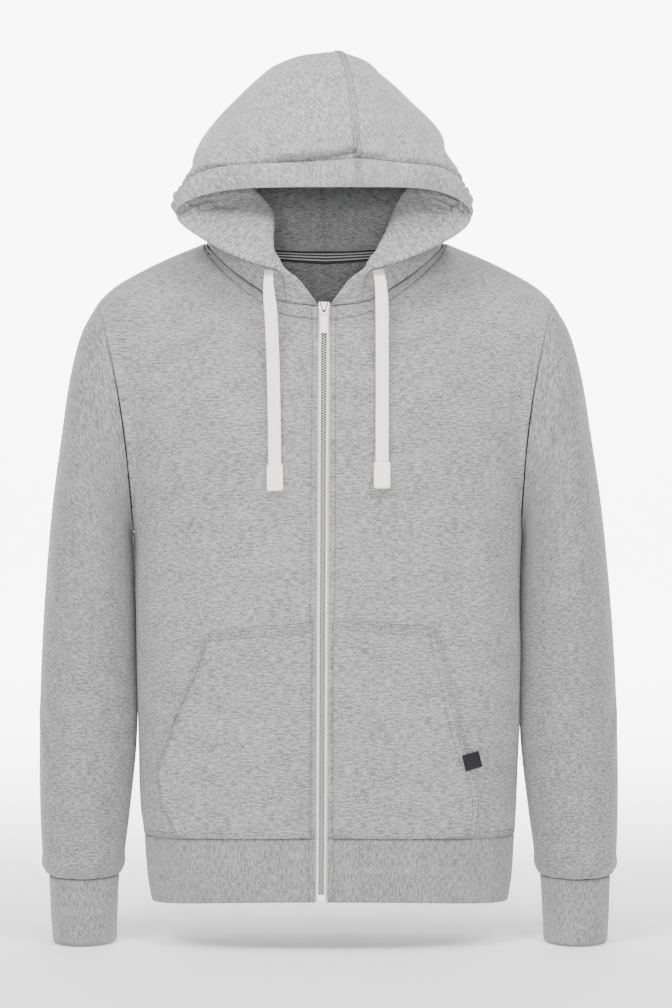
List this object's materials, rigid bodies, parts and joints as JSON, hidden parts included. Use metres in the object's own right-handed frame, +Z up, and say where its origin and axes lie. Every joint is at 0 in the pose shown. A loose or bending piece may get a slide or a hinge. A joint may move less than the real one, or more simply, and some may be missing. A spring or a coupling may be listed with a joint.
{
  "type": "zip-up hoodie",
  "caption": "Filled-out zip-up hooded sweatshirt with a raised hood, flat drawcords, ribbed cuffs and hem, kangaroo pockets, and a zip pull tab that swings.",
  "frame": {"origin": "centre of the neck at the height of the high shoulder points, where the wearer's neck and shoulders hold the garment up", "axes": "+Z up towards the crown of the hood, -Y towards the front with the zip, +X towards the wearer's left"},
  "size_m": [0.6035, 0.28, 0.9297],
  "materials": {
    "marl_jersey": "grey marl cotton jersey, brushed inside",
    "marl_rib": "grey marl ribbed knit",
    "cream_cotton": "cream woven cotton",
    "zip_metal": "pale metal zip teeth",
    "cream_lacquer": "cream lacquer on a cast zip slider",
    "striped_tape": "dark woven tape with pale stripes",
    "label_black": "plain black woven label"
  },
  "bodies": {
    "garment": {"front_left": "marl_jersey", "front_right": "marl_jersey", "back": "marl_jersey", "sleeve_left": "marl_jersey", "sleeve_right": "marl_jersey", "cuff_left": "marl_rib", "cuff_right": "marl_rib", "hem_band": "marl_rib", "hood_left": "marl_jersey", "hood_right": "marl_jersey", "neck_tape": "striped_tape", "pocket_left": "marl_jersey", "pocket_right": "marl_jersey", "pocket_label": "label_black", "zip_tape_left": "cream_cotton", "zip_tape_right": "cream_cotton", "zip_teeth_left": "zip_metal", "zip_teeth_right": "zip_metal", "zip_bottom_box": "zip_metal", "zip_slider": "cream_lacquer", "drawcord_left": "cream_cotton", "drawcord_right": "cream_cotton", "drawcord_end_left": "cream_cotton", "drawcord_end_right": "cream_cotton"},
    "pull_tab": {"zip_pull_tab": "cream_lacquer"}
  },
  "joints": [
    {"name": "pull_tab_hinge", "type": "hinge", "parent": "garment", "child": "pull_tab", "pos_m": [-0.00042, -0.11974, -0.0835], "axis": [-1, 0, 0], "range_deg": [0, 143]}
  ]
}
